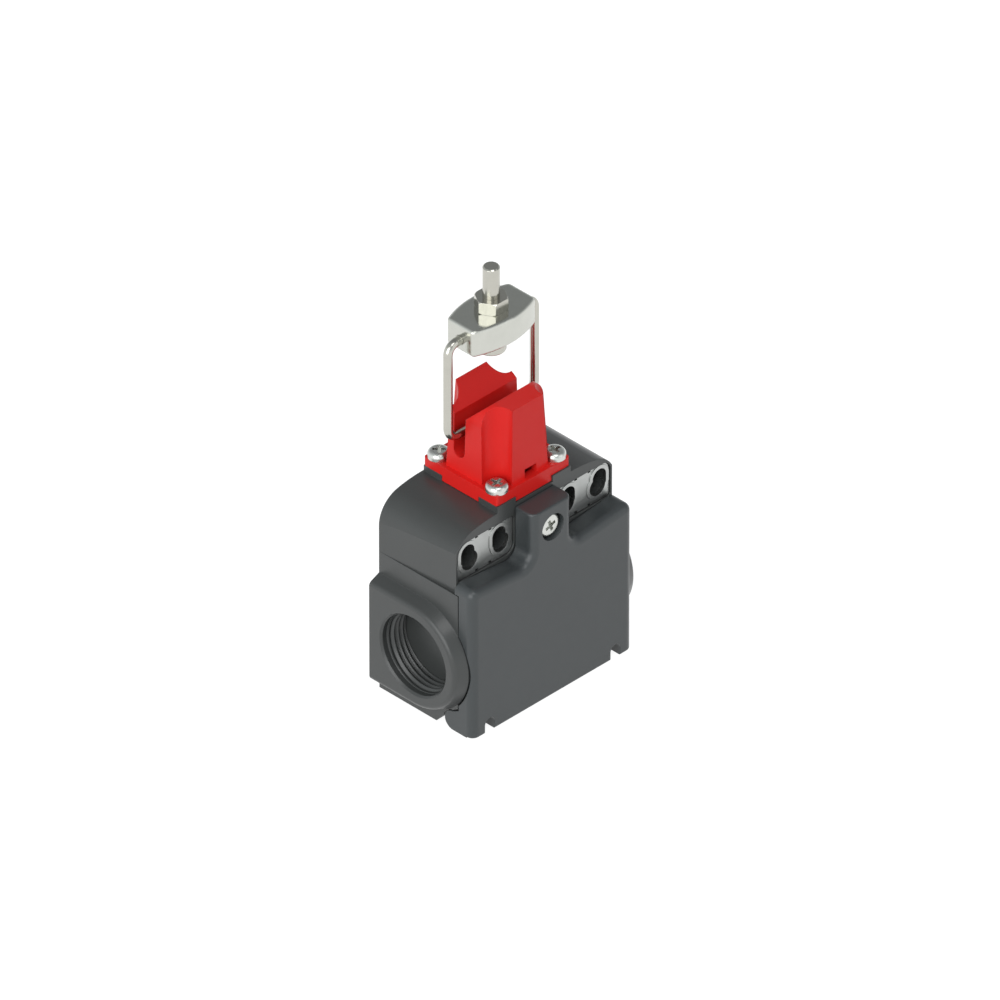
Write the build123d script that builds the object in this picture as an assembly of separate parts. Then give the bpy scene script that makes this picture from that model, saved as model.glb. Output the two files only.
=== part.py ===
"""Safety interlock switch with a wire loop actuator: housing, hinged cover, key head and contact block.

Millimetres. X runs to the right along the cover, Y from the cover to the mounting face, Z up.
The origin is under the middle of the body, on the surface that it stands on.
"""

import os
from math import atan, cos, degrees, pi, radians, sin, sqrt

from build123d import *

os.makedirs("parts", exist_ok=True)

# Body: overall sizes, measured back from the face of the cover
body_width = 51.6
body_depth = 30.0
crown_height = 53.3
crown_half_flat = 12.0
shoulder_radius = 36.0
shoulder_rounding = 7.5
seam_depth = 4.45
seam_gap = 0.25
upper_front = 6.0
upper_side = 25.0
ledge_drop = 15.4
vertical_rounding = 2.0
wall_back = 3.0
side_wall = 4.4

# Hollow of the housing and its slanted foot, which leaves room for the cover to swing
hollow_floor = 3.0
crown_solid = 17.9
foot_cut_depth = 11.6
foot_cut_front = 6.6
foot_cut_height = 5.5
hollow_sill_height = 8.0
hollow_sill_depth = 7.8
hollow_floor_depth = 12.4

# Conduit entries, one in each side
conduit_axis_depth = 16.0
conduit_axis_height = 17.3
conduit_radius = 10.2
conduit_chamfer = 0.5
conduit_membrane = 1.2
conduit_lining = 1.0
boss_reach = 3.2
boss_face_radius = 13.3
boss_root_radius = 14.7
boss_rounding = 1.3
boss_plug = 2.4
boss_gap = 0.35

# Cover
cover_skin = 2.0
cover_side_wall = 2.2
cover_tab_half_width = 6.3
cover_tab_drop = 0.8
cover_wing_drop = 12.5
cover_dip_drop = 14.1
cover_dip_start = 9.6
cover_hollow_drop = 15.7
cover_hollow_floor = 2.2
cover_edge_rounding = 0.5
cover_corner_rounding = 2.0
cover_notch_centre = 20.2
cover_notch_width = 3.2
cover_notch_height = 3.8
hinge_depth = 6.3
hinge_height = 2.6
flap_radius = 2.6
flap_shoulder = 6.2
flap_thickness = 2.6
flap_gap = 0.35

# Cover gasket
gasket_width = 1.8
gasket_lift = 0.1
gasket_clearance = 0.1

# Cover screw
screw_axis_drop = 6.6
cover_screw_head_radius = 3.1
cover_screw_head_height = 1.4
cover_screw_shank_radius = 1.9
cover_screw_reach = 5.5
cover_screw_counterbore = 3.45
cover_screw_seat = 2.2
cover_screw_turn = 20
housing_screw_hole = 2.7
housing_screw_hole_depth = 8.0
seal_wire = 0.35

# Fixing plates with their keyhole slots
plate_inner = 6.6
plate_outer = 24.35
plate_height = 9.7
plate_drop = 3.2
plate_thickness = 1.0
plate_front = 6.2
plate_round_small = 0.9
plate_round_large = 2.6
plate_clearance = 0.2
keyhole_near = 10.5
keyhole_far = 20.5
keyhole_rise = 4.2
keyhole_radius = 2.5
keyhole_neck_offset = 0.6
keyhole_neck_width = 4.3
keyhole_neck_rise = 4.5
keyhole_rim = 0.9
keyhole_rim_height = 0.25
plate_nick_centre = 15.9
plate_nick_spread = 2.15
plate_nick_width = 0.9
plate_nick_depth = 0.6
fixing_bore_gap = 0.15

# Head: square flange on four corner pads
flange_centre_depth = 18.05
pad_height = 1.6
flange_thickness = 2.45
flange_rounding = 0.6
pad_size = 5.8
pad_gap = 0.1
skirt_gap = 0.15
underside_gap = 0.8

# Head: the fork with its funnel mouth and the hollows that clear the head screws
fork_height = 19.65
fork_half_width_base = 10.5
fork_half_width_top = 9.75
fork_front_base = 7.4
fork_front_top = 8.2
fork_back_base = 27.4
fork_back_top = 26.3
fork_shoulder_rounding = 5.0
screw_hollow_base = 3.7
screw_hollow_top = 4.5
funnel_depth = 4.7
key_slot_width = 3.5
key_slot_floor = 3.95
foot_window_left = 1.6
foot_window_right = 2.1
foot_window_height = 2.25

# Head screws
head_screw_pitch = 18.5
head_screw_edge = 2.45
head_screw_radius = 2.7
head_screw_head_height = 2.0
head_screw_shank_radius = 1.45
head_screw_length = 7.0
head_screw_clearance = 0.15
recess_half_length = 1.55
recess_half_width = 0.42
recess_core_radius = 0.75
recess_depth = 1.1
screw_dome = 0.62
first_turn = 10
turn_step = 35

# Cam rotor and its pin
rotor_axis_depth = 14.4
rotor_axis_rise = 6.25
key_pitch_radius = 5.4
rotor_radius = 5.0
rotor_half_width = 2.2
rotor_side_clearance = 0.3
rotor_running_gap = 0.35
cam_rest_radius = 4.0
claw_hub_radius = 3.3
claw_half_angle = 38.0
claw_mouth_play = 0.15
cam_top = 3.2
cam_shoulder_out = 2.6
cam_shoulder_up = 0.8
plunger_ratio = 0.12
pin_radius = 1.0
pin_half_length = 3.7
pin_clearance = 0.05
spiral_steps = 6

# Plunger, its guide plate and the head gasket
plunger_disc_radius = 4.8
plunger_disc_thickness = 1.8
plunger_stem_radius = 2.0
plunger_guide_clearance = 0.08
plunger_bore_clearance = 0.4
plunger_chamber_clearance = 0.3
plunger_ceiling_rise = 2.95
guide_plate_radius = 5.7
guide_plate_clearance = 0.1
head_gasket_outer = 8.15
head_gasket_inner = 6.0
head_gasket_thickness = 0.7

# Contact block
block_half_width = 13.0
block_front = 11.5
block_post_length = 1.5
block_height = 24.9
block_head_gap = 2.0
block_column_inner = 8.2
block_floor_thickness = 4.0
block_roof_thickness = 3.2
block_pocket_gap = 0.3
block_rounding = 0.8
block_screw_x = 10.6
block_screw_rise = 12.5
block_screw_radius = 1.4
block_screw_head_radius = 2.4
block_screw_head_height = 1.6
block_post_radius = 2.9

# Carrier, bridges and fixed contacts
carrier_half_width = 3.2
carrier_front = 14.6
carrier_back = 21.2
carrier_foot_gap = 1.7
carrier_head_gap = 0.4
carrier_guide_clearance = 0.2
bridge_half_length = 7.0
bridge_half_depth = 1.5
bridge_thickness = 0.9
bridge_closed_rise = 17.5
bridge_open_rise = 8.5
contact_gap = 0.08
tip_inner = 4.4
tip_outer = 8.0
strip_thickness = 0.8
terminal_x = 10.5
terminal_upper_rise = 19.1
terminal_lower_rise = 5.9
terminal_plate_half_width = 2.4
terminal_plate_half_height = 2.5
clamp_half_size = 2.3
clamp_thickness = 1.1
terminal_screw_radius = 1.4
terminal_screw_head_radius = 2.2
terminal_screw_head_height = 1.7
terminal_screw_reach = 5.5
screw_end_gap = 0.5
screw_hole_clearance = 0.1
slot_cut_width = 0.6
slot_cut_depth = 0.7

# Return spring under the carrier
spring_radius = 2.0
spring_wire = 0.25
spring_turns = 3.0
spring_seat_rise = 1.5
spring_end_gap = 0.1
spring_well_radius = 2.6

# Earth terminal
earth_x = 16.6
earth_height = 9.4
earth_post_radius = 3.0
earth_seat_depth = 22.0
earth_screw_radius = 1.5
earth_head_radius = 2.7
earth_head_height = 2.0
earth_washer_radius = 3.4
earth_washer_thickness = 0.9

# Actuator: wire loop, block, stud and nut
wire_radius = 1.1
loop_half_width = 13.8
loop_bar_rise = 4.3
loop_height = 25.6
loop_bend_low = 3.0
loop_bend_high = 2.4
loop_arm_end = 6.0
key_travel_in = 5.2
key_travel_out = 9.0
key_block_half_length = 10.0
key_block_below_pivot = 3.1
key_block_height = 7.2
key_block_end_half_width = 4.15
key_block_mid_half_width = 6.4
key_block_corner = 1.2
key_block_edge = 0.8
pivot_clearance = 0.05
arm_end_gap = 0.4
stud_radius = 2.0
stud_shank_radius = 1.8
stud_reach = 11.4
stud_chamfer = 0.3
stud_fit = 0.03
stud_head_radius = 3.5
stud_head_height = 4.0
nut_across_flats = 7.0
nut_height = 3.2
nut_chamfer = 0.35

half_width = body_width / 2
flange_size = head_screw_pitch + 2 * head_screw_edge
standing = (Align.CENTER, Align.CENTER, Align.MIN)
hanging = (Align.CENTER, Align.CENTER, Align.MAX)
reach = body_width + body_depth
housing_front = seam_depth + seam_gap
rotor_rate = degrees(1 / key_pitch_radius)

# Heights of the cover, the plates and the contact block, measured down from the crown
ledge_height = crown_height - ledge_drop
hollow_top = crown_height - crown_solid
cover_tab_top = crown_height - cover_tab_drop
cover_wing_end = crown_height - cover_wing_drop
cover_wing_dip = crown_height - cover_dip_drop
cover_hollow_top = crown_height - cover_hollow_drop
screw_axis_height = crown_height - screw_axis_drop
plate_top = crown_height - plate_drop
plate_bottom = plate_top - plate_height
keyhole_height = plate_bottom + keyhole_rise
keyhole_neck_top = keyhole_height + keyhole_neck_rise
block_head = hollow_top - block_head_gap
block_foot = block_head - block_height
block_back = body_depth - wall_back - block_post_length
block_floor_top = block_foot + block_floor_thickness
block_roof_bottom = block_head - block_roof_thickness
block_screw_height = block_foot + block_screw_rise
carrier_foot = block_floor_top + carrier_foot_gap
carrier_head = block_head - carrier_head_gap
bridge_closed_height = block_foot + bridge_closed_rise
bridge_open_height = block_foot + bridge_open_rise
terminal_upper = block_foot + terminal_upper_rise
terminal_lower = block_foot + terminal_lower_rise
spring_seat = block_foot + spring_seat_rise

# Heights of the head and the actuator, measured up from the crown
cover_tab_depth = upper_front - seam_gap
flange_bottom = crown_height + pad_height
flange_top = flange_bottom + flange_thickness
skirt_bottom = crown_height + skirt_gap
head_underside = crown_height + underside_gap
guide_plate_top = flange_bottom
fork_top = flange_top + fork_height
funnel_edge = fork_top - funnel_depth
key_slot_depth = rotor_axis_depth + key_pitch_radius
key_slot_bottom = flange_top + key_slot_floor
foot_window_top = flange_top + foot_window_height
rotor_axis_height = flange_top + rotor_axis_rise
plunger_ceiling = flange_top + plunger_ceiling_rise
loop_bar_height = rotor_axis_height + loop_bar_rise
loop_pivot_height = loop_bar_height + loop_height
key_block_bottom = loop_pivot_height - key_block_below_pivot
key_block_top = key_block_bottom + key_block_height
stud_head_bottom = key_block_bottom - stud_head_height
stud_top = key_block_top + stud_reach


def at(distance_from_face):
    """Y of a plane that lies this far behind the face of the cover."""
    return distance_from_face - body_depth / 2


def block(x0, x1, d0, d1, z0, z1):
    """A box between two X, two depths behind the cover face and two heights."""
    size = Box(x1 - x0, d1 - d0, z1 - z0, align=(Align.MIN, Align.MIN, Align.MIN))
    return Pos(x0, at(d0), z0) * size


def front_prism(sketch, d0, d1):
    """A sketch drawn as seen from the front, extruded from depth d0 back to depth d1."""
    plane = Plane(origin=(0, at(d0), 0), x_dir=(1, 0, 0), z_dir=(0, -1, 0))
    return extrude(plane * sketch, amount=-(d1 - d0))


def side_prism(sketch, x0, x1):
    """A sketch of depth and height, extruded from x0 to x1."""
    plane = Plane(origin=(x0, at(0), 0), x_dir=(0, 1, 0), z_dir=(1, 0, 0))
    return extrude(plane * sketch, amount=x1 - x0)


def upright(radius, x, d, z0, z1):
    """A round bar along Z."""
    bar = Cylinder(radius, z1 - z0, align=standing)
    return Pos(x, at(d), z0) * bar


def inward(radius, x, z, d0, d1):
    """A round bar along Y, from depth d0 back to depth d1."""
    return front_prism(Pos(x, z) * Circle(radius), d0, d1)


def crosswise(radius, d, z, x0, x1):
    """A round bar along X."""
    return side_prism(Pos(d, z) * Circle(radius), x0, x1)


def mirrored(solid):
    """The same solid on the other side of the middle plane."""
    return mirror(solid, about=Plane.YZ)


def both(solid):
    """The solid and its mirror image, joined."""
    return solid + mirrored(solid)


def save(shape, node):
    """Writes one piece to its own file."""
    export_step(shape, f"parts/{node}.step")


def shoulder(x):
    """Height of the housing's shoulder at this distance from the middle."""
    run = max(x - crown_half_flat, 0)
    return crown_height - shoulder_radius + sqrt(shoulder_radius**2 - run**2)


def body_outline(inset):
    """Front outline of the housing with its falling shoulders, drawn in by an inset."""
    side = half_width - inset
    drop = inset
    mid = (crown_half_flat + side) / 2
    edges = [
        Line((-side, inset), (side, inset)),
        Line((side, inset), (side, shoulder(side) - drop)),
        ThreePointArc(
            (side, shoulder(side) - drop),
            (mid, shoulder(mid) - drop),
            (crown_half_flat, crown_height - drop),
        ),
        Line((crown_half_flat, crown_height - drop), (-crown_half_flat, crown_height - drop)),
        ThreePointArc(
            (-crown_half_flat, crown_height - drop),
            (-mid, shoulder(mid) - drop),
            (-side, shoulder(side) - drop),
        ),
        Line((-side, shoulder(side) - drop), (-side, inset)),
    ]
    outline = make_face(edges)
    corners = outline.vertices().filter_by(lambda v: abs(v.X) > mid and v.Y > crown_half_flat)
    return fillet(corners, shoulder_rounding)


def boss_outline(radius):
    """The D of a conduit boss: round in front, straight to the mounting face. Drawn as depth and height."""
    low = conduit_axis_height - radius
    high = conduit_axis_height + radius
    return make_face(
        [
            ThreePointArc(
                (conduit_axis_depth, high),
                (conduit_axis_depth - radius, conduit_axis_height),
                (conduit_axis_depth, low),
            ),
            Line((conduit_axis_depth, low), (body_depth, low)),
            Line((body_depth, low), (body_depth, high)),
            Line((body_depth, high), (conduit_axis_depth, high)),
        ]
    )


def conduit_boss():
    """The right-hand boss with its sloping flank, down to the plug that fills the cover's cut-out."""
    frame = Plane(origin=(half_width, at(0), 0), x_dir=(0, 1, 0), z_dir=(1, 0, 0))
    root = frame * boss_outline(boss_root_radius)
    face = frame.offset(boss_reach) * boss_outline(boss_face_radius)
    flank = loft([root, face], ruled=True)
    rim = flank.edges().group_by(Axis.X)[-1]
    flank = fillet(rim.filter_by(lambda e: e.center().Y < at(body_depth)), boss_rounding)
    plug = side_prism(boss_outline(boss_root_radius), half_width - boss_plug, half_width)
    return flank + plug


def conduit_hole():
    """The threaded entry as far as the thin wall that is knocked out for a cable."""
    mouth = half_width + boss_reach
    bottom = half_width - side_wall
    hole = crosswise(conduit_radius, conduit_axis_depth, conduit_axis_height, bottom, mouth)
    centre = (mouth, at(conduit_axis_depth), conduit_axis_height)
    frame = Plane(origin=centre, x_dir=(0, 1, 0), z_dir=(1, 0, 0))
    inner = frame.offset(-conduit_chamfer) * Circle(conduit_radius)
    outer = frame * Circle(conduit_radius + conduit_chamfer)
    return hole + loft([inner, outer])


def keyhole(x, grow):
    """One keyhole as seen from the front: a round hole with a narrower neck above it."""
    neck_half = keyhole_neck_width / 2 + grow
    neck_x = x + keyhole_neck_offset
    neck = Pos(neck_x, (keyhole_height + keyhole_neck_top + grow - neck_half) / 2) * Rectangle(
        2 * neck_half, keyhole_neck_top + grow - neck_half - keyhole_height
    )
    cap = Pos(neck_x, keyhole_neck_top + grow - neck_half) * Circle(neck_half)
    return Pos(x, keyhole_height) * Circle(keyhole_radius + grow) + neck + cap


def plate_outline(grow):
    """Outline of the right-hand fixing plate, with one larger rounding at its top and one at its foot."""
    low = plate_bottom - grow
    high = plate_top + grow
    near = plate_inner - grow
    far = plate_outer + grow
    sketch = Polygon((near, low), (far, low), (far, high), (near, high), align=None)
    middle = (near + far) / 2
    wide = sketch.vertices().filter_by(lambda v: (v.X > middle) == (v.Y > keyhole_height))
    sketch = fillet(wide, plate_round_large + grow)
    sharp = sketch.vertices().filter_by(lambda v: is_square(v, near, far, low, high))
    return fillet(sharp, plate_round_small + grow)


def is_square(v, near, far, low, high):
    """True at a corner that has not been rounded."""
    aside = min(abs(v.X - near), abs(v.X - far))
    above = min(abs(v.Y - low), abs(v.Y - high))
    return aside + above < plate_round_small / 2


def head_screw_places():
    """X and depth of the four screws of the head."""
    half = head_screw_pitch / 2
    near = flange_centre_depth - half
    far = flange_centre_depth + half
    return ((-half, near), (-half, far), (half, near), (half, far))


def boss_cut():
    """Room for the right-hand conduit boss in the cover and its gasket."""
    inner = half_width - boss_plug - boss_gap
    return side_prism(boss_outline(boss_root_radius + boss_gap), inner, half_width + 1)


def make_housing():
    """Moulded housing, open to the front, with its conduit bosses and the pads for the head."""
    body = front_prism(body_outline(0), housing_front, body_depth)
    body += both(conduit_boss())
    head_side = flange_size / 2
    for sx in (-1, 1):
        for sy in (-1, 1):
            pad_x = sx * (head_side - pad_size / 2)
            pad_d = flange_centre_depth + sy * (head_side - pad_size / 2)
            pad = Box(pad_size, pad_size, pad_height + 1, align=hanging)
            body += Pos(pad_x, at(pad_d), flange_bottom) * pad
    for sx in (-1, 1):
        edge = sx * head_side
        back = flange_centre_depth - head_side + pad_size
        inner = edge - sx * pad_size
        body += block(min(edge, inner), max(edge, inner), upper_front, back, crown_height - 1, flange_bottom)
    hollow = Polygon(
        (seam_depth, hollow_sill_height),
        (hollow_sill_depth, hollow_sill_height),
        (hollow_floor_depth, hollow_floor),
        (body_depth - wall_back, hollow_floor),
        (body_depth - wall_back, hollow_top),
        (seam_depth, hollow_top),
        align=None,
    )
    inside = half_width - side_wall
    body -= side_prism(hollow, -inside, inside)
    web = conduit_radius + conduit_lining
    body += both(crosswise(web, conduit_axis_depth, conduit_axis_height, inside - conduit_membrane, inside))
    foot = Polygon(
        (0, -1),
        (foot_cut_depth, -1),
        (foot_cut_depth, 0),
        (foot_cut_front, foot_cut_height),
        (0, foot_cut_height),
        align=None,
    )
    body -= side_prism(foot, -half_width, half_width)
    corner = half_width - flap_thickness - flap_gap
    body -= both(side_prism(flap_outline(flap_gap), corner, half_width))
    body -= both(conduit_hole())
    tab_half = cover_tab_half_width + seam_gap
    tab_seat = cover_tab_depth + seam_gap
    body -= block(-tab_half, tab_half, 0, tab_seat, cover_hollow_top, reach)
    body -= block(-half_width, half_width, 0, upper_front, ledge_height, reach)
    draft = Polygon(
        (upper_side, at(upper_front)),
        (reach, at(upper_front)),
        (reach, at(body_depth)),
        (half_width, at(body_depth)),
        align=None,
    )
    body -= both(Pos(0, 0, ledge_height) * extrude(draft, amount=reach, dir=(0, 0, 1)))
    body -= both(front_prism(plate_outline(plate_clearance), 0, plate_front + plate_thickness))
    for x in (keyhole_near, keyhole_far):
        body -= both(front_prism(keyhole(x, fixing_bore_gap), 0, body_depth))
    body -= inward(housing_screw_hole, 0, screw_axis_height, 0, tab_seat + housing_screw_hole_depth)
    body -= upright(plunger_stem_radius + plunger_bore_clearance, 0, flange_centre_depth, hollow_top, reach)
    for x, depth in head_screw_places():
        hole = head_screw_shank_radius + head_screw_clearance
        body -= upright(hole, x, depth, flange_top - head_screw_length - 1, reach)
    back = body_depth - wall_back
    body += both(inward(block_post_radius, block_screw_x, block_screw_height, block_back, back))
    hole = block_screw_radius + screw_hole_clearance
    body -= both(inward(hole, block_screw_x, block_screw_height, block_back - 1, back + 1))
    body += inward(earth_post_radius, earth_x, earth_height, earth_seat_depth, back)
    hole = earth_screw_radius + screw_hole_clearance
    body -= inward(hole, earth_x, earth_height, earth_seat_depth - 1, back)
    return body


def flap_outline(gap):
    """Hook at the foot of the cover, round about the hinge line, as depth and height, grown by a gap."""
    radius = flap_radius + gap
    web = Polygon(
        (cover_skin, hinge_height - radius),
        (hinge_depth, hinge_height - radius),
        (hinge_depth, hinge_height + radius),
        (seam_depth + gap, flap_shoulder + gap),
        (cover_skin, flap_shoulder + gap),
        align=None,
    )
    return web + Pos(hinge_depth, hinge_height) * Circle(radius)


def cover_outline():
    """Front outline of the cover: low wings, and a tab in the middle that carries the screw."""
    tab = cover_tab_half_width
    bend = cover_dip_start - tab
    right = [
        Line((half_width, 0), (half_width, cover_wing_end)),
        Line((half_width, cover_wing_end), (cover_dip_start, cover_wing_dip)),
        ThreePointArc(
            (cover_dip_start, cover_wing_dip),
            (tab + bend * (1 - cos(pi / 4)), cover_wing_dip + bend * (1 - sin(pi / 4))),
            (tab, cover_wing_dip + bend),
        ),
        Line((tab, cover_wing_dip + bend), (tab, cover_tab_top)),
    ]
    left = [mirror(edge, about=Plane.YZ) for edge in right]
    base = Line((-half_width, 0), (half_width, 0))
    top = Line((-tab, cover_tab_top), (tab, cover_tab_top))
    outline = make_face([*right, top, *left, base])
    corners = outline.vertices().filter_by(lambda v: abs(v.X) > cover_notch_centre and v.Y > cover_wing_dip)
    return fillet(corners, cover_corner_rounding)


def make_cover():
    """Box lid with hooks at its foot, cut away around the conduit bosses."""
    tab = cover_tab_half_width
    lid = front_prism(cover_outline(), 0, seam_depth)
    crest = front_prism(cover_outline(), 0, cover_tab_depth)
    lid += crest - block(-reach, reach, -1, reach, -1, ledge_height + seam_gap)
    upright_edges = lid.edges().filter_by(Axis.Z).group_by(Axis.Y)[0]
    outer = upright_edges.filter_by(lambda e: abs(e.center().X) > tab + 1)
    lid = fillet(outer, vertical_rounding)
    rim = lid.edges().group_by(Axis.Y)[0]
    lid = fillet(rim, cover_edge_rounding)
    inside = half_width - cover_side_wall
    lid -= block(-inside, inside, cover_skin, reach, cover_hollow_floor, cover_hollow_top)
    corner = half_width - flap_thickness
    lid += both(side_prism(flap_outline(0), corner, half_width))
    slot = Rot(0, 0, 90) * SlotOverall(cover_notch_height + cover_notch_width, cover_notch_width)
    notch = Pos(cover_notch_centre, (cover_notch_height - cover_notch_width) / 2) * slot
    lid -= both(front_prism(notch, -1, seam_depth))
    lid -= both(boss_cut())
    lid -= inward(cover_screw_counterbore, 0, screw_axis_height, -1, cover_screw_seat)
    lid -= inward(cover_screw_shank_radius + screw_hole_clearance, 0, screw_axis_height, -1, reach)
    return lid


def make_cover_gasket():
    """Flat sealing ring that sits in the cover and meets the rim of the housing."""
    outer = half_width - cover_side_wall - gasket_clearance
    top = cover_hollow_top - gasket_clearance
    low = flap_shoulder + gasket_lift
    ring = block(-outer, outer, cover_skin, housing_front - gasket_clearance / 2, low, top)
    inner = outer - gasket_width
    ring -= block(-inner, inner, 0, reach, low + gasket_width, top - gasket_width)
    return ring - both(boss_cut())


def cross_recess(height):
    """Cross-shaped driver recess, cut down from the top of a head that ends at this height."""
    arm = Box(2 * recess_half_length, 2 * recess_half_width, recess_depth, align=hanging)
    core = Cone(recess_core_radius / 2, recess_core_radius, recess_depth, align=hanging)
    return Pos(0, 0, height) * (arm + Rot(0, 0, 90) * arm + core)


def pan_head_screw(head_radius, head_height, shank_radius, length):
    """Screw along Z: underside of the head at zero, shank below it, domed head above it."""
    head = Cylinder(head_radius, head_height, align=standing)
    head = fillet(head.edges().group_by(Axis.Z)[-1], head_height * screw_dome)
    head -= cross_recess(head_height)
    shank = Cylinder(shank_radius, length, align=hanging)
    return head + shank


def slotted_screw(head_radius, head_height, shank_radius, length):
    """Cheese-head screw along Z with a plain slot."""
    head = Cylinder(head_radius, head_height, align=standing)
    head -= Pos(0, 0, head_height) * Box(
        2 * head_radius, slot_cut_width, slot_cut_depth, align=hanging
    )
    shank = Cylinder(shank_radius, length, align=hanging)
    return head + shank


def facing_front(x, z, seat_depth, turn):
    """Places a screw so that its head looks out of the front."""
    return Pos(x, at(seat_depth), z) * Rot(90, 0, 0) * Rot(0, 0, turn)


def make_cover_screw():
    """Captive closing screw in the tab."""
    length = cover_tab_depth - cover_screw_seat + cover_screw_reach
    head = cover_screw_head_radius
    screw = pan_head_screw(head, cover_screw_head_height, cover_screw_shank_radius, length)
    return facing_front(0, screw_axis_height, cover_screw_seat, cover_screw_turn) * screw


def make_cover_screw_seal():
    """Ring that keeps the closing screw tight and captive, behind the tab."""
    ring_radius = cover_screw_shank_radius + seal_wire
    seal = Torus(ring_radius, seal_wire)
    return facing_front(0, screw_axis_height, cover_tab_depth + seal_wire, 0) * seal


def make_fixing_plate():
    """Right-hand steel plate: two keyholes with raised rims, and nicks in its long edges."""
    sketch = plate_outline(0)
    for x in (plate_nick_centre - plate_nick_spread, plate_nick_centre + plate_nick_spread):
        for z in (plate_bottom, plate_top):
            sketch -= Pos(x, z) * Rectangle(plate_nick_width, 2 * plate_nick_depth)
    plate = front_prism(sketch, plate_front + keyhole_rim_height, plate_front + plate_thickness)
    for x in (keyhole_near, keyhole_far):
        rim = keyhole(x, keyhole_rim) & plate_outline(0)
        plate += front_prism(rim, plate_front, plate_front + keyhole_rim_height)
    for x in (keyhole_near, keyhole_far):
        plate -= front_prism(keyhole(x, 0), 0, body_depth)
    return plate


def make_fork():
    """Fork: a drafted block with rounded shoulders, a funnel mouth and hollows that clear the screws."""
    mid = (at(fork_front_base) + at(fork_back_base)) / 2
    base = Pos(0, mid, flange_top) * Rectangle(2 * fork_half_width_base, fork_back_base - fork_front_base)
    mid = (at(fork_front_top) + at(fork_back_top)) / 2
    top = Pos(0, mid, fork_top) * Rectangle(2 * fork_half_width_top, fork_back_top - fork_front_top)
    fork = loft([base, top], ruled=True)
    crest = fork.edges().group_by(Axis.Z)[-1]
    shoulders = crest.filter_by(lambda e: abs(e.center().X) > fork_half_width_top / 2)
    fork = fillet(shoulders, fork_shoulder_rounding)
    slot_front = key_slot_depth - key_slot_width / 2
    slot_back = key_slot_depth + key_slot_width / 2
    rise = fork_top + 1 - funnel_edge
    funnel = Polygon(
        (slot_front, funnel_edge),
        (slot_back, funnel_edge),
        (slot_back + rise, funnel_edge + rise),
        (slot_front - rise, funnel_edge + rise),
        align=None,
    )
    fork -= side_prism(funnel, -half_width, half_width)
    for x, depth in head_screw_places():
        hollow = Cone(screw_hollow_base, screw_hollow_top, fork_height + 1, align=standing)
        fork -= Pos(x, at(depth), flange_top) * hollow
    return fork


def make_head():
    """Red head: flange with skirts, fork, key slot and the chambers for the rotor and the plunger."""
    side = flange_size / 2
    flange = Box(flange_size, flange_size, flange_thickness, align=standing)
    flange = fillet(flange.edges().filter_by(Axis.Z), flange_rounding)
    head = Pos(0, at(flange_centre_depth), flange_bottom) * flange
    inner = side - pad_size - pad_gap
    mid = flange_centre_depth
    head += block(-inner, inner, mid - side, mid + side, skirt_bottom, flange_bottom)
    head += block(-side, side, mid - inner, mid + inner, skirt_bottom, flange_bottom)
    head += make_fork()
    slot_front = key_slot_depth - key_slot_width / 2
    slot_back = key_slot_depth + key_slot_width / 2
    slot_centre = key_slot_bottom + key_slot_width / 2
    head -= crosswise(key_slot_width / 2, key_slot_depth, slot_centre, -reach, reach)
    head -= block(-reach, reach, slot_front, slot_back, slot_centre, reach + funnel_edge)
    room = rotor_half_width + rotor_side_clearance
    swing = rotor_radius + rotor_running_gap
    head -= crosswise(swing, rotor_axis_depth, rotor_axis_height, -room, room)
    head -= block(-room, room, rotor_axis_depth - swing, slot_front, head_underside, rotor_axis_height)
    disc_room = plunger_disc_radius + plunger_chamber_clearance
    head -= upright(disc_room, 0, mid, head_underside, plunger_ceiling)
    head -= upright(guide_plate_radius + guide_plate_clearance, 0, mid, skirt_bottom - 1, guide_plate_top)
    head -= upright(head_gasket_outer + guide_plate_clearance, 0, mid, skirt_bottom - 1, head_underside)
    head -= crosswise(pin_radius, rotor_axis_depth, rotor_axis_height, -pin_half_length, pin_half_length)
    window_back = rotor_axis_depth - rotor_radius
    head -= block(-foot_window_left, foot_window_right, 0, window_back, flange_top, foot_window_top)
    for x, depth in head_screw_places():
        head -= upright(head_screw_shank_radius + head_screw_clearance, x, depth, skirt_bottom, flange_top)
    return head


def make_head_screws():
    """Four pan-head screws that hold the head on its pads."""
    shank = head_screw_shank_radius
    screw = pan_head_screw(head_screw_radius, head_screw_head_height, shank, head_screw_length)
    placed = []
    turn = first_turn
    for x, depth in head_screw_places():
        placed.append(Pos(x, at(depth), flange_top) * Rot(0, 0, turn) * screw)
        turn += turn_step
    return Compound(children=placed)


def make_head_gasket():
    """Ring between the head and the housing."""
    low = crown_height
    high = crown_height + head_gasket_thickness
    ring = upright(head_gasket_outer, 0, flange_centre_depth, low, high)
    return ring - upright(head_gasket_inner, 0, flange_centre_depth, low, high)


def make_guide_plate():
    """Plate that closes the head from below and guides the plunger."""
    plate = upright(guide_plate_radius, 0, flange_centre_depth, crown_height, guide_plate_top)
    hole = plunger_stem_radius + plunger_guide_clearance
    return plate - upright(hole, 0, flange_centre_depth, crown_height, guide_plate_top)


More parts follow.
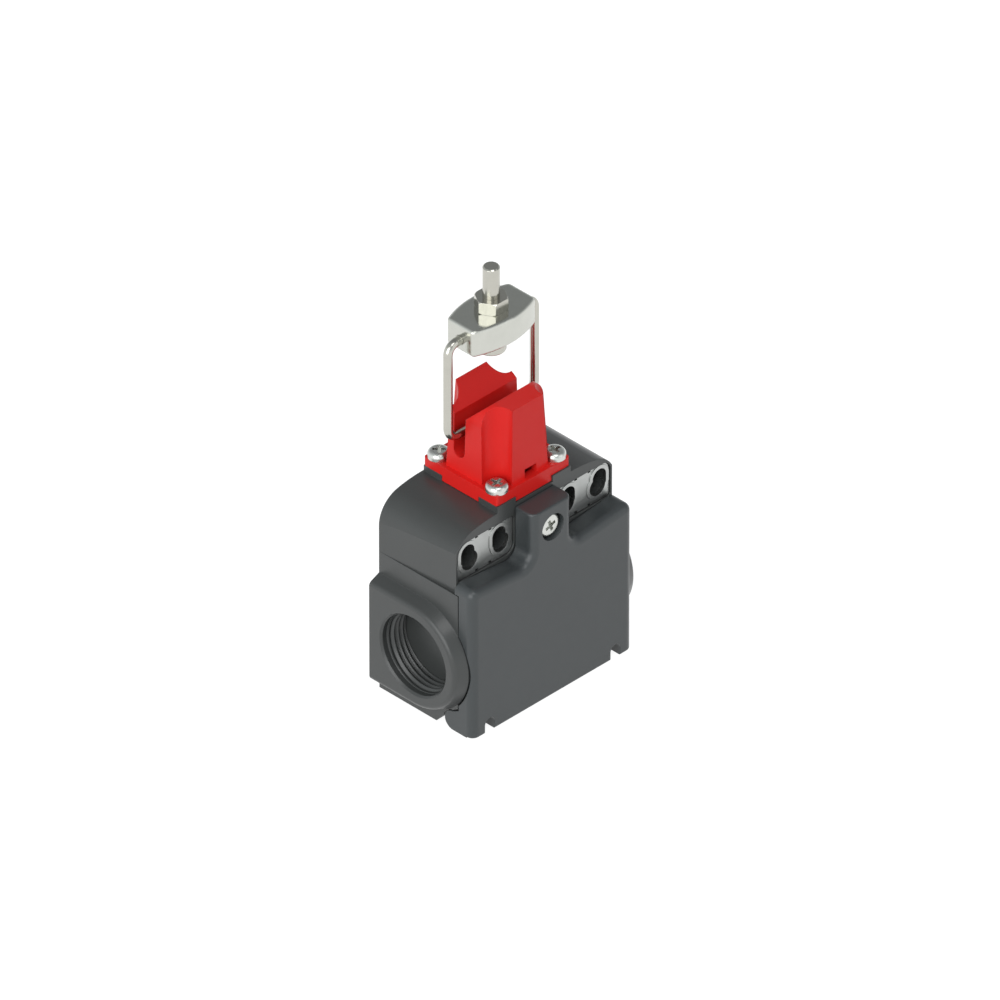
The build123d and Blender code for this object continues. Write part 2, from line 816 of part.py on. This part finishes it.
def make_rotor():
    """Rotor turned by the wire bar: a claw with a notch on the left, the plunger's cam on the right."""
    centre = Pos(rotor_axis_depth, rotor_axis_height)
    lead = rotor_rate * (loop_bar_height - rotor_axis_height)
    wing = 2 * rotor_radius
    spread = wing * sin(radians(claw_half_angle))
    jaws = Circle(rotor_radius) & Polygon((0, 0), (wing, -spread), (wing, spread), align=None)
    disc = side_prism(centre * Rot(0, 0, lead) * (Circle(claw_hub_radius) + jaws), -rotor_half_width, 0)
    spiral = []
    for step in range(spiral_steps + 1):
        travel = -key_travel_in + (key_travel_in + key_travel_out) * step / spiral_steps
        angle = radians(-90 - rotor_rate * travel)
        radius = cam_rest_radius + plunger_ratio * travel
        spiral.append((radius * cos(angle), radius * sin(angle)))
    closing = ThreePointArc(spiral[-1], (-cam_rest_radius / 2, cam_rest_radius / 2), (0, cam_top))
    shut = ThreePointArc((0, cam_top), (cam_shoulder_out, cam_shoulder_up), spiral[0])
    cam = side_prism(centre * make_face([Spline(spiral), closing, shut]), 0, rotor_half_width)
    rotor = disc + cam
    play = wire_radius + rotor_running_gap
    notch = Circle(play) + Pos(rotor_radius, 0) * Rectangle(2 * rotor_radius, 2 * (play + claw_mouth_play))
    notch = centre * Rot(0, 0, lead) * Pos(key_pitch_radius, 0) * notch
    rotor -= side_prism(notch, -rotor_half_width, rotor_half_width)
    return rotor - crosswise(pin_radius + pin_clearance, rotor_axis_depth, rotor_axis_height, -reach, reach)


def make_plunger():
    """Mushroom plunger that carries the cam's stroke down to the contact block."""
    top = rotor_axis_height - cam_rest_radius - rotor_running_gap
    disc = upright(plunger_disc_radius, 0, flange_centre_depth, top - plunger_disc_thickness, top)
    stem = upright(plunger_stem_radius, 0, flange_centre_depth, carrier_head, top)
    return disc + stem


def make_contact_block():
    """Open-fronted moulding: two terminal columns, a floor, a roof and a back wall with the slide's guide."""
    body = block(-block_half_width, block_half_width, block_front, block_back, block_foot, block_head)
    body = fillet(body.edges().filter_by(Axis.Y), block_rounding)
    inner = block_column_inner
    body -= block(-inner, inner, 0, carrier_back + block_pocket_gap, block_floor_top, block_roof_bottom)
    guide = carrier_half_width + carrier_guide_clearance
    body -= block(-guide, guide, 0, carrier_back + carrier_guide_clearance, block_roof_bottom, reach)
    body -= upright(spring_well_radius, 0, flange_centre_depth, spring_seat, block_floor_top)
    hole = terminal_screw_radius + screw_hole_clearance
    for z in (terminal_lower, terminal_upper):
        body -= both(inward(hole, terminal_x, z, 0, block_front + terminal_screw_reach))
    hole = block_screw_radius + screw_hole_clearance
    body -= both(inward(hole, block_screw_x, block_screw_height, 0, body_depth))
    sink = block_screw_head_radius + screw_hole_clearance
    body -= both(inward(sink, block_screw_x, block_screw_height, 0, block_front + block_screw_head_height))
    return body


def stroke(travel):
    """How far the plunger and the carrier move for this travel of the actuator."""
    return plunger_ratio * travel


def fixed_strip(tip_low, terminal_z):
    """Brass strip from a contact tip to its terminal, on the right-hand side."""
    arm_front = block_front - strip_thickness
    mid = flange_centre_depth
    arm_back = mid + bridge_half_depth
    strip = block(tip_inner, tip_outer, arm_front, arm_back, tip_low, tip_low + strip_thickness)
    near = tip_outer - strip_thickness
    far = terminal_x + terminal_plate_half_width
    low = terminal_z - terminal_plate_half_height
    high = terminal_z + terminal_plate_half_height
    strip += block(near, far, arm_front, block_front, low, high)
    hole = terminal_screw_radius + screw_hole_clearance
    return strip - inward(hole, terminal_x, terminal_z, 0, block_front)


def make_fixed_contacts():
    """Two pairs of strips: one pair above the upper bridge, one below the lower bridge."""
    half = bridge_thickness / 2
    above = bridge_closed_height + half + stroke(key_travel_in) + contact_gap
    below = bridge_open_height - half - stroke(key_travel_out) - contact_gap - strip_thickness
    upper = fixed_strip(above, terminal_upper)
    lower = fixed_strip(below, terminal_lower)
    return Compound(children=[upper, mirrored(upper), lower, mirrored(lower)])


def make_terminal_clamps():
    """Square pressure plates under the terminal screws."""
    placed = []
    front = block_front - strip_thickness - clamp_thickness
    for x in (-terminal_x, terminal_x):
        for z in (terminal_lower, terminal_upper):
            half = clamp_half_size
            clamp = block(x - half, x + half, front, front + clamp_thickness, z - half, z + half)
            hole = inward(terminal_screw_radius + screw_hole_clearance, x, z, 0, body_depth)
            placed.append(clamp - hole)
    return Compound(children=placed)


def make_terminal_screws():
    """Four slotted screws facing the front."""
    seat = block_front - strip_thickness - clamp_thickness
    length = terminal_screw_reach + strip_thickness + clamp_thickness - screw_end_gap
    head = terminal_screw_head_radius
    screw = slotted_screw(head, terminal_screw_head_height, terminal_screw_radius, length)
    placed = []
    turn = first_turn
    for x in (-terminal_x, terminal_x):
        for z in (terminal_lower, terminal_upper):
            placed.append(facing_front(x, z, seat, turn) * screw)
            turn += turn_step
    return Compound(children=placed)


def make_block_screws():
    """Two screws that hold the contact block on the posts of the housing."""
    seat = block_front + block_screw_head_height
    length = body_depth - wall_back - seat
    head = block_screw_head_radius
    screw = slotted_screw(head, block_screw_head_height, block_screw_radius, length)
    left = facing_front(-block_screw_x, block_screw_height, seat, first_turn) * screw
    right = facing_front(block_screw_x, block_screw_height, seat, first_turn + turn_step) * screw
    return Compound(children=[left, right])


def make_carrier():
    """Slide inside the contact block, with a window for each contact bridge."""
    half = carrier_half_width
    carrier = block(-half, half, carrier_front, carrier_back, carrier_foot, carrier_head)
    carrier = fillet(carrier.edges().filter_by(Axis.Z), block_rounding)
    depth = bridge_half_depth
    mid = flange_centre_depth
    for z in (bridge_closed_height, bridge_open_height):
        thick = bridge_thickness / 2
        carrier -= block(-half, half, mid - depth, mid + depth, z - thick, z + thick)
    return carrier


def make_bridges():
    """Two contact bridges, carried across the slide."""
    front = flange_centre_depth - bridge_half_depth
    back = flange_centre_depth + bridge_half_depth
    long = bridge_half_length
    placed = []
    for z in (bridge_closed_height, bridge_open_height):
        thick = bridge_thickness / 2
        placed.append(block(-long, long, front, back, z - thick, z + thick))
    return Compound(children=placed)


def make_carrier_spring():
    """Return spring in its well under the slide."""
    height = carrier_foot - spring_seat - 2 * (spring_wire + spring_end_gap)
    coil = Helix(height / spring_turns, height, spring_radius)
    wire = Plane(origin=coil @ 0, z_dir=coil % 0) * Circle(spring_wire)
    spring = sweep(wire, path=coil, is_frenet=True)
    return Pos(0, at(flange_centre_depth), spring_seat + spring_wire + spring_end_gap / 2) * spring


def make_earth_screw():
    """Earth screw on its post beside the contact block."""
    seat = earth_seat_depth - earth_washer_thickness
    length = body_depth - wall_back - seat - screw_end_gap
    screw = pan_head_screw(earth_head_radius, earth_head_height, earth_screw_radius, length)
    return facing_front(earth_x, earth_height, seat, turn_step) * screw


def make_earth_washer():
    """Cupped washer that holds the earth wire."""
    front = earth_seat_depth - earth_washer_thickness
    washer = inward(earth_washer_radius, earth_x, earth_height, front, earth_seat_depth)
    hole = earth_screw_radius + screw_hole_clearance
    return washer - inward(hole, earth_x, earth_height, 0, earth_seat_depth)


def make_wire_loop():
    """Stainless wire loop: bar at the bottom, arms that turn inward into the actuator block."""
    y = at(key_slot_depth)
    path = FilletPolyline(
        (-loop_arm_end, y, loop_pivot_height),
        (-loop_half_width, y, loop_pivot_height),
        (-loop_half_width, y, loop_bar_height),
        (loop_half_width, y, loop_bar_height),
        (loop_half_width, y, loop_pivot_height),
        (loop_arm_end, y, loop_pivot_height),
        radius=[loop_bend_high, loop_bend_low, loop_bend_low, loop_bend_high],
    )
    start = Plane(origin=path @ 0, z_dir=path % 0)
    return sweep(start * Circle(wire_radius), path=path)


def make_key_block():
    """Polished block between the arms, bowed on its long sides."""
    long = key_block_half_length
    end = key_block_end_half_width
    wide = key_block_mid_half_width
    outline = make_face(
        [
            Line((-long, -end), (-long, end)),
            ThreePointArc((-long, end), (0, wide), (long, end)),
            Line((long, end), (long, -end)),
            ThreePointArc((long, -end), (0, -wide), (-long, -end)),
        ]
    )
    bar = extrude(fillet(outline.vertices(), key_block_corner), amount=key_block_top - key_block_bottom)
    bar = fillet(bar.edges().group_by(Axis.Z)[-1] + bar.edges().group_by(Axis.Z)[0], key_block_edge)
    bar = Pos(0, at(key_slot_depth), key_block_bottom) * bar
    hole_end = loop_arm_end - arm_end_gap
    bore = wire_radius + pivot_clearance
    bar -= both(crosswise(bore, key_slot_depth, loop_pivot_height, hole_end, reach))
    return bar - upright(stud_radius + stud_fit, 0, key_slot_depth, 0, stud_top)


def make_stud():
    """Threaded stud with a round head under the block."""
    nut_top = key_block_top + nut_height
    shaft = upright(stud_radius, 0, key_slot_depth, nut_top, stud_top)
    shaft = chamfer(shaft.edges().group_by(Axis.Z)[-1], stud_chamfer)
    shaft += upright(stud_shank_radius, 0, key_slot_depth, stud_head_bottom, nut_top)
    head = upright(stud_head_radius, 0, key_slot_depth, stud_head_bottom, key_block_bottom)
    head = fillet(head.edges().group_by(Axis.Z)[0], stud_chamfer)
    return shaft + head


def make_nut():
    """Hexagon nut on top of the block, chamfered at its corners."""
    corner = nut_across_flats / 2 / cos(pi / 6)
    prism = extrude(RegularPolygon(corner, 6), amount=nut_height)
    blank = Cylinder(corner, nut_height, align=standing)
    blank = chamfer(blank.edges().filter_by(GeomType.CIRCLE), nut_chamfer)
    nut = Pos(0, at(key_slot_depth), key_block_top) * (prism & blank)
    return nut - upright(stud_shank_radius + stud_fit, 0, key_slot_depth, 0, stud_top)


def make_rotor_pin():
    """Pin held in the head, on which the rotor turns."""
    return crosswise(pin_radius, rotor_axis_depth, rotor_axis_height, -pin_half_length, pin_half_length)


save(make_housing(), "housing")
save(make_cover(), "cover")
save(make_cover_gasket(), "cover_gasket")
save(make_cover_screw(), "cover_screw")
save(make_cover_screw_seal(), "cover_screw_seal")
save(make_fixing_plate(), "fixing_plate_right")
save(mirrored(make_fixing_plate()), "fixing_plate_left")
save(make_head(), "head")
save(make_head_screws(), "head_screws")
save(make_head_gasket(), "head_gasket")
save(make_guide_plate(), "guide_plate")
save(make_rotor(), "cam_rotor")
save(make_rotor_pin(), "rotor_pin")
save(make_plunger(), "plunger")
save(make_contact_block(), "contact_block")
save(make_fixed_contacts(), "fixed_contacts")
save(make_terminal_clamps(), "terminal_clamps")
save(make_terminal_screws(), "terminal_screws")
save(make_block_screws(), "contact_block_screws")
save(make_carrier(), "contact_carrier")
save(make_bridges(), "contact_bridges")
save(make_carrier_spring(), "carrier_spring")
save(make_earth_screw(), "earth_screw")
save(make_earth_washer(), "earth_washer")
save(make_wire_loop(), "wire_loop")
save(make_key_block(), "actuator_block")
save(make_stud(), "actuator_stud")
save(make_nut(), "stud_nut")
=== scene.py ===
"""Safety interlock switch with a wire loop actuator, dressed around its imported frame."""

from math import cos, radians, sin, tau

import bmesh
import bpy
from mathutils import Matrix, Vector


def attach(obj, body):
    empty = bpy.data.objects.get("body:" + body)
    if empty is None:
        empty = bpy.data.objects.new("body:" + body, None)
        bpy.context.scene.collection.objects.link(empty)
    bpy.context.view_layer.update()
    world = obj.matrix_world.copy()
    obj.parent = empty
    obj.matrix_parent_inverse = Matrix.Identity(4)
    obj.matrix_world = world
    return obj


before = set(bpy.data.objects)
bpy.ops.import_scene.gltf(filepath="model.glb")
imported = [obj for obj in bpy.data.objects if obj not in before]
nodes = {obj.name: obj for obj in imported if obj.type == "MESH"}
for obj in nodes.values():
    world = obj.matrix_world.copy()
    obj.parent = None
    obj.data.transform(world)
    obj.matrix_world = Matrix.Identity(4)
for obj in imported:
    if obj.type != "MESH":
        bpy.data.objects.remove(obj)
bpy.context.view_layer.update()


# Housing
# A glass-filled moulding in dark grey with a fine satin texture, closed in front by the cover.
# Its colour wanders a little, as moulded polymer does, and its grain is fine enough to feel smooth.
MM = 0.001


def fresh_material(name, kind="ShaderNodeBsdfPrincipled", socket="BSDF"):
    """A node material that holds its output and one shader of this kind."""
    material = bpy.data.materials.new(name)
    material.use_nodes = True
    tree = material.node_tree
    tree.nodes.clear()
    output = tree.nodes.new("ShaderNodeOutputMaterial")
    shader = tree.nodes.new(kind)
    tree.links.new(shader.outputs[socket], output.inputs["Surface"])
    return material, tree, shader


def object_noise(tree, size, detail=3.0, stretch=(1.0, 1.0, 1.0)):
    """Noise whose features are about this many millimetres across, fixed to the piece."""
    where = tree.nodes.new("ShaderNodeTexCoord")
    place = tree.nodes.new("ShaderNodeMapping")
    place.inputs["Scale"].default_value = stretch
    noise = tree.nodes.new("ShaderNodeTexNoise")
    noise.inputs["Scale"].default_value = 1.0 / (size * MM)
    noise.inputs["Detail"].default_value = detail
    tree.links.new(where.outputs["Object"], place.inputs["Vector"])
    tree.links.new(place.outputs["Vector"], noise.inputs["Vector"])
    return noise.outputs["Fac"]


def ramp(tree, source, near, far, low, high):
    """A value that goes from low to high while its source goes from near to far."""
    node = tree.nodes.new("ShaderNodeMapRange")
    node.inputs["From Min"].default_value = near
    node.inputs["From Max"].default_value = far
    node.inputs["To Min"].default_value = low
    node.inputs["To Max"].default_value = high
    tree.links.new(source, node.inputs["Value"])
    return node.outputs["Result"]


def uneven(tree, noise, middle, swing):
    """A value that a noise moves a little up and down. Nearly all of a noise lies from 0.3 to 0.7."""
    return ramp(tree, noise, near=0.3, far=0.7, low=middle - swing, high=middle + swing)


def tinted(tree, noise, colour, swing):
    """The colour made a little darker and lighter by a noise."""
    mix = tree.nodes.new("ShaderNodeMix")
    mix.data_type = "RGBA"
    mix.inputs["A"].default_value = (*[c * (1 - swing) for c in colour], 1)
    mix.inputs["B"].default_value = (*[min(1, c * (1 + swing)) for c in colour], 1)
    tree.links.new(noise, mix.inputs["Factor"])
    return mix.outputs["Result"]


def bumped(tree, shader, noise, height, strength, edge):
    """Fine relief, with its height and the softness of the edges in millimetres."""
    soft = tree.nodes.new("ShaderNodeBevel")
    soft.samples = 4
    soft.inputs["Radius"].default_value = edge * MM
    bump = tree.nodes.new("ShaderNodeBump")
    bump.inputs["Distance"].default_value = height * MM
    bump.inputs["Strength"].default_value = strength
    tree.links.new(noise, bump.inputs["Height"])
    tree.links.new(soft.outputs["Normal"], bump.inputs["Normal"])
    tree.links.new(bump.outputs["Normal"], shader.inputs["Normal"])


def moulded(name, colour, roughness, swing=0.05, height=0.004, strength=0.2, gloss=0.5):
    """Moulded polymer: slow colour drift, fine grain, slightly uneven gloss and soft edges."""
    drift_size = 9.0
    patch_size = 3.0
    grain_size = 0.3
    gloss_swing = 0.03
    edge = 0.2
    material, tree, shader = fresh_material(name)
    drift = object_noise(tree, drift_size)
    grain = object_noise(tree, grain_size, detail=2.0)
    patches = object_noise(tree, patch_size)
    tree.links.new(tinted(tree, drift, colour, swing), shader.inputs["Base Color"])
    tree.links.new(uneven(tree, patches, roughness, gloss_swing), shader.inputs["Roughness"])
    shader.inputs["Specular IOR Level"].default_value = gloss
    bumped(tree, shader, grain, height, strength, edge)
    return material


def dress(material, *names):
    """Gives CAD nodes their finish."""
    for name in names:
        node = nodes[name]
        node.data.materials.clear()
        node.data.materials.append(material)


housing_finish = moulded("dark grey moulding", (0.049, 0.052, 0.051), roughness=0.33)
dress(housing_finish, "housing")


# Conduit threads
# Rounded right-handed thread inside both conduit entries, from the thin closing wall outwards, in the
# housing's grey. Each is one closed ring whose back lies in the wall; its turns fade into the mouth.
def thread_ring(side):
    """Thread of one entry, in millimetres: a grid rolled round its axis. Left is -1, right is 1."""
    pitch = 1.41
    crest = 9.5
    root = 10.17
    buried = 10.6
    inner_end = 21.45
    outer_end = 27.2
    axis_depth = 1.0
    axis_height = 17.3
    weld = 0.002
    ridges = 56
    rounds = 120
    # Two buried columns follow the ridges, at the outer and the inner end, and one more meets the first.
    columns = ridges + 3
    form = bmesh.new()
    bmesh.ops.create_grid(form, x_segments=columns, y_segments=rounds, size=0.5)
    for vert in form.verts:
        column = round((vert.co.x + 0.5) * columns)
        turn = vert.co.y + 0.5
        along = min(column, ridges) / ridges if column <= ridges + 1 else 0.0
        x = inner_end + along * (outer_end - inner_end)
        radius = buried
        if column <= ridges or column == columns:
            wave = 0.5 + 0.5 * cos(tau * (x / pitch - side * turn))
            fade = min(1.0, (outer_end - x) / pitch)
            radius = root - (root - crest) * fade * wave
        across = axis_depth + radius * cos(tau * turn)
        up = axis_height + radius * sin(tau * turn)
        vert.co = Vector((side * x, across, up)) * MM
    bmesh.ops.remove_doubles(form, verts=form.verts, dist=weld * MM)
    bmesh.ops.recalc_face_normals(form, faces=form.faces)
    for face in form.faces:
        face.smooth = True
    name = "conduit_thread_left" if side < 0 else "conduit_thread_right"
    mesh = bpy.data.meshes.new(name)
    form.to_mesh(mesh)
    form.free()
    mesh.materials.append(housing_finish)
    ring = bpy.data.objects.new(name, mesh)
    bpy.context.scene.collection.objects.link(ring)
    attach(ring, "root")


thread_ring(-1)
thread_ring(1)

# Cover
# The box-shaped lid, moulded in one piece with the hooks at its foot, and closed by one screw.
# Its grey is a shade bluer than the housing's, and a little rougher.
cover_finish = moulded("cover moulding", (0.046, 0.052, 0.054), roughness=0.34)
dress(cover_finish, "cover")

# Seals
# Black rubber: the cover's flat gasket, the ring behind its screw and the seal under the head.
# It is matt, and each seal is held between the two pieces that it closes off.
seal_finish = moulded("seal rubber", (0.012, 0.012, 0.012), roughness=0.7, gloss=0.3)
dress(seal_finish, "cover_gasket", "cover_screw_seal", "head_gasket")


# Screws and pressure plates
# Zinc-plated steel with a soft shine, turned and stamped, and slightly uneven in its plating.
# The cover's screw, the four of the head and all those in the wiring space share it.
def metal(name, colour, roughness, brush=(1.0, 1.0, 1.0), height=0.002, strength=0.15, edge=0.15):
    """Metal with an uneven polish, brushed along the axis whose number in brush is small."""
    cloud_size = 2.5
    mark_size = 0.35
    colour_swing = 0.06
    polish_swing = 0.04
    material, tree, shader = fresh_material(name)
    shader.inputs["Metallic"].default_value = 1.0
    cloud = object_noise(tree, cloud_size)
    marks = object_noise(tree, mark_size, stretch=brush)
    tree.links.new(tinted(tree, cloud, colour, colour_swing), shader.inputs["Base Color"])
    tree.links.new(uneven(tree, marks, roughness, polish_swing), shader.inputs["Roughness"])
    bumped(tree, shader, marks, height, strength, edge)
    return material


screw_finish = metal("zinc plate", (0.62, 0.63, 0.60), roughness=0.28, edge=0.08)
dress(screw_finish, "cover_screw", "head_screws", "earth_screw")
dress(screw_finish, "terminal_screws", "terminal_clamps", "contact_block_screws")

# Fixing plates
# Stamped stainless plates with keyholes for the mounting screws, let into the housing.
# Their satin surface is brushed from side to side.
sideways = (0.12, 1.0, 1.0)
plate_finish = metal("satin stainless", (0.46, 0.47, 0.46), roughness=0.36, brush=sideways, edge=0.06)
dress(plate_finish, "fixing_plate_left", "fixing_plate_right")

# Head
# The red key head, moulded in one piece with its flange and held by four screws. Its grain is
# shallower than the housing's, and it mirrors less, so the red stays deep.
head_finish = moulded(
    "red moulding",
    (0.66, 0.015, 0.012),
    roughness=0.34,
    swing=0.03,
    height=0.002,
    strength=0.1,
    gloss=0.25,
)
dress(head_finish, "head")

# Mechanism
# The rotor, its pin, the plunger and the slide's return spring are plain steel.
# The guide plate and the contact slide are mouldings of a pale polymer.
inner_finish = metal("plain steel", (0.42, 0.42, 0.41), roughness=0.36)
dress(inner_finish, "cam_rotor", "rotor_pin", "plunger", "carrier_spring")
pale_finish = moulded("pale moulding", (0.62, 0.61, 0.57), roughness=0.4)
dress(pale_finish, "guide_plate", "contact_carrier")

# Contact block
# A black moulding, screwed into the wiring space, that carries the fixed contacts.
# The contact strips, the bridges on the slide and the earth washer are brass.
block_finish = moulded("block moulding", (0.03, 0.03, 0.032), roughness=0.45)
dress(block_finish, "contact_block")
brass_finish = metal("contact brass", (0.72, 0.55, 0.26), roughness=0.3)
dress(brass_finish, "fixed_contacts", "contact_bridges", "earth_washer")

# Wire loop
# Stainless wire of 2.2 mm, bent cold, with drawing marks along its sides and a bright surface.
# Its lower bar drops into the fork of the head and turns the rotor there.
upright = (1.0, 1.0, 0.1)
wire_finish = metal("bright wire", (0.50, 0.49, 0.44), roughness=0.18, brush=upright)
dress(wire_finish, "wire_loop")

# Actuator block
# Stainless block, polished, that turns on the loop's arms.
# It mirrors clearly, and its edges are the softest of all the pieces.
polished_finish = metal(
    "polished block",
    (0.56, 0.565, 0.52),
    roughness=0.13,
    height=0.001,
    strength=0.06,
    edge=0.8,
)
dress(polished_finish, "actuator_block")

# Stud and nut
# The M4 stud with its round head under the block, and the hexagon nut that locks it.
# Both are stainless, with the same bright surface as the wire.
dress(wire_finish, "actuator_stud", "stud_nut")


# Floor, light and camera
# A pale floor that runs into a white background, one large soft lamp on the left, weak ones in front
# and above, and a long lens from the front left, raised by a little over a third of a right angle.
def add_floor():
    """A wide grey floor that looks white to the camera and in reflections, and keeps the shadow."""
    half_size = 3.0
    drop = 0.2
    grey = (0.3, 0.3, 0.3, 1)
    glow_level = 0.9
    mesh = bpy.data.meshes.new("floor")
    form = bmesh.new()
    bmesh.ops.create_grid(form, x_segments=1, y_segments=1, size=half_size)
    form.to_mesh(mesh)
    form.free()
    floor = bpy.data.objects.new("floor", mesh)
    floor.location = (0, 0, -drop * MM)
    bpy.context.scene.collection.objects.link(floor)
    material, tree, both = fresh_material("floor", kind="ShaderNodeAddShader", socket="Shader")
    diffuse = tree.nodes.new("ShaderNodeBsdfDiffuse")
    diffuse.inputs["Color"].default_value = grey
    glow = tree.nodes.new("ShaderNodeEmission")
    rays = tree.nodes.new("ShaderNodeLightPath")
    seen = tree.nodes.new("ShaderNodeMath")
    seen.operation = "MAXIMUM"
    level = tree.nodes.new("ShaderNodeMath")
    level.operation = "MULTIPLY"
    level.inputs[1].default_value = glow_level
    tree.links.new(rays.outputs["Is Camera Ray"], seen.inputs[0])
    tree.links.new(rays.outputs["Is Glossy Ray"], seen.inputs[1])
    tree.links.new(seen.outputs["Value"], level.inputs[0])
    tree.links.new(level.outputs["Value"], glow.inputs["Strength"])
    tree.links.new(diffuse.outputs["BSDF"], both.inputs[0])
    tree.links.new(glow.outputs["Emission"], both.inputs[1])
    mesh.materials.append(material)


def add_world():
    """Air that is bright at the horizon, darker overhead and brighter again on the left."""
    cool_white = (0.94, 0.98, 1.0, 1)
    world = bpy.data.worlds.new("studio")
    bpy.context.scene.world = world
    world.use_nodes = True
    tree = world.node_tree
    tree.nodes.clear()
    output = tree.nodes.new("ShaderNodeOutputWorld")
    air = tree.nodes.new("ShaderNodeBackground")
    air.inputs["Color"].default_value = cool_white
    where = tree.nodes.new("ShaderNodeTexCoord")
    parts = tree.nodes.new("ShaderNodeSeparateXYZ")
    tree.links.new(where.outputs["Generated"], parts.inputs["Vector"])
    overhead = ramp(tree, parts.outputs["Z"], near=0.05, far=0.55, low=0.8, high=0.32)
    leftward = ramp(tree, parts.outputs["X"], near=0.1, far=-0.9, low=0.0, high=0.5)
    total = tree.nodes.new("ShaderNodeMath")
    total.operation = "ADD"
    tree.links.new(overhead, total.inputs[0])
    tree.links.new(leftward, total.inputs[1])
    tree.links.new(total.outputs["Value"], air.inputs["Strength"])
    tree.links.new(air.outputs["Background"], output.inputs["Surface"])


def add_lamp(name, direction, distance, size, power):
    """A square soft lamp that looks at the middle of the object."""
    lamp = bpy.data.lights.new(name, "AREA")
    lamp.size = size
    lamp.energy = power
    holder = bpy.data.objects.new(name, lamp)
    aim = Vector(direction).normalized()
    holder.location = look_at + aim * distance
    holder.rotation_euler = aim.to_track_quat("Z", "Y").to_euler()
    bpy.context.scene.collection.objects.link(holder)


def add_camera(azimuth, elevation, picture_width):
    """A lens so long that the picture is nearly isometric, with this width at the object."""
    lens = 1000.0
    sensor = 36.0
    data = bpy.data.cameras.new("camera")
    data.lens = lens
    data.sensor_width = sensor
    data.clip_end = 50.0
    camera = bpy.data.objects.new("camera", data)
    level = cos(elevation)
    toward = Vector((level * sin(azimuth), -level * cos(azimuth), sin(elevation)))
    camera.location = look_at + toward * (picture_width * lens / sensor)
    camera.rotation_euler = toward.to_track_quat("Z", "Y").to_euler()
    bpy.context.scene.collection.objects.link(camera)
    bpy.context.scene.camera = camera


look_at = Vector((0.0, 0.002, 0.04567))
add_floor()
add_world()
add_lamp("key", direction=(-1.0, -0.3, 0.4), distance=1.1, size=0.9, power=6.4)
add_lamp("fill", direction=(0.3, -0.9, 0.45), distance=1.1, size=0.8, power=1.5)
add_lamp("top", direction=(-0.2, -0.55, 1.0), distance=1.2, size=0.5, power=2.4)
add_camera(azimuth=radians(-45), elevation=radians(35.264), picture_width=0.2268)
bpy.context.scene.view_settings.view_transform = "Standard"
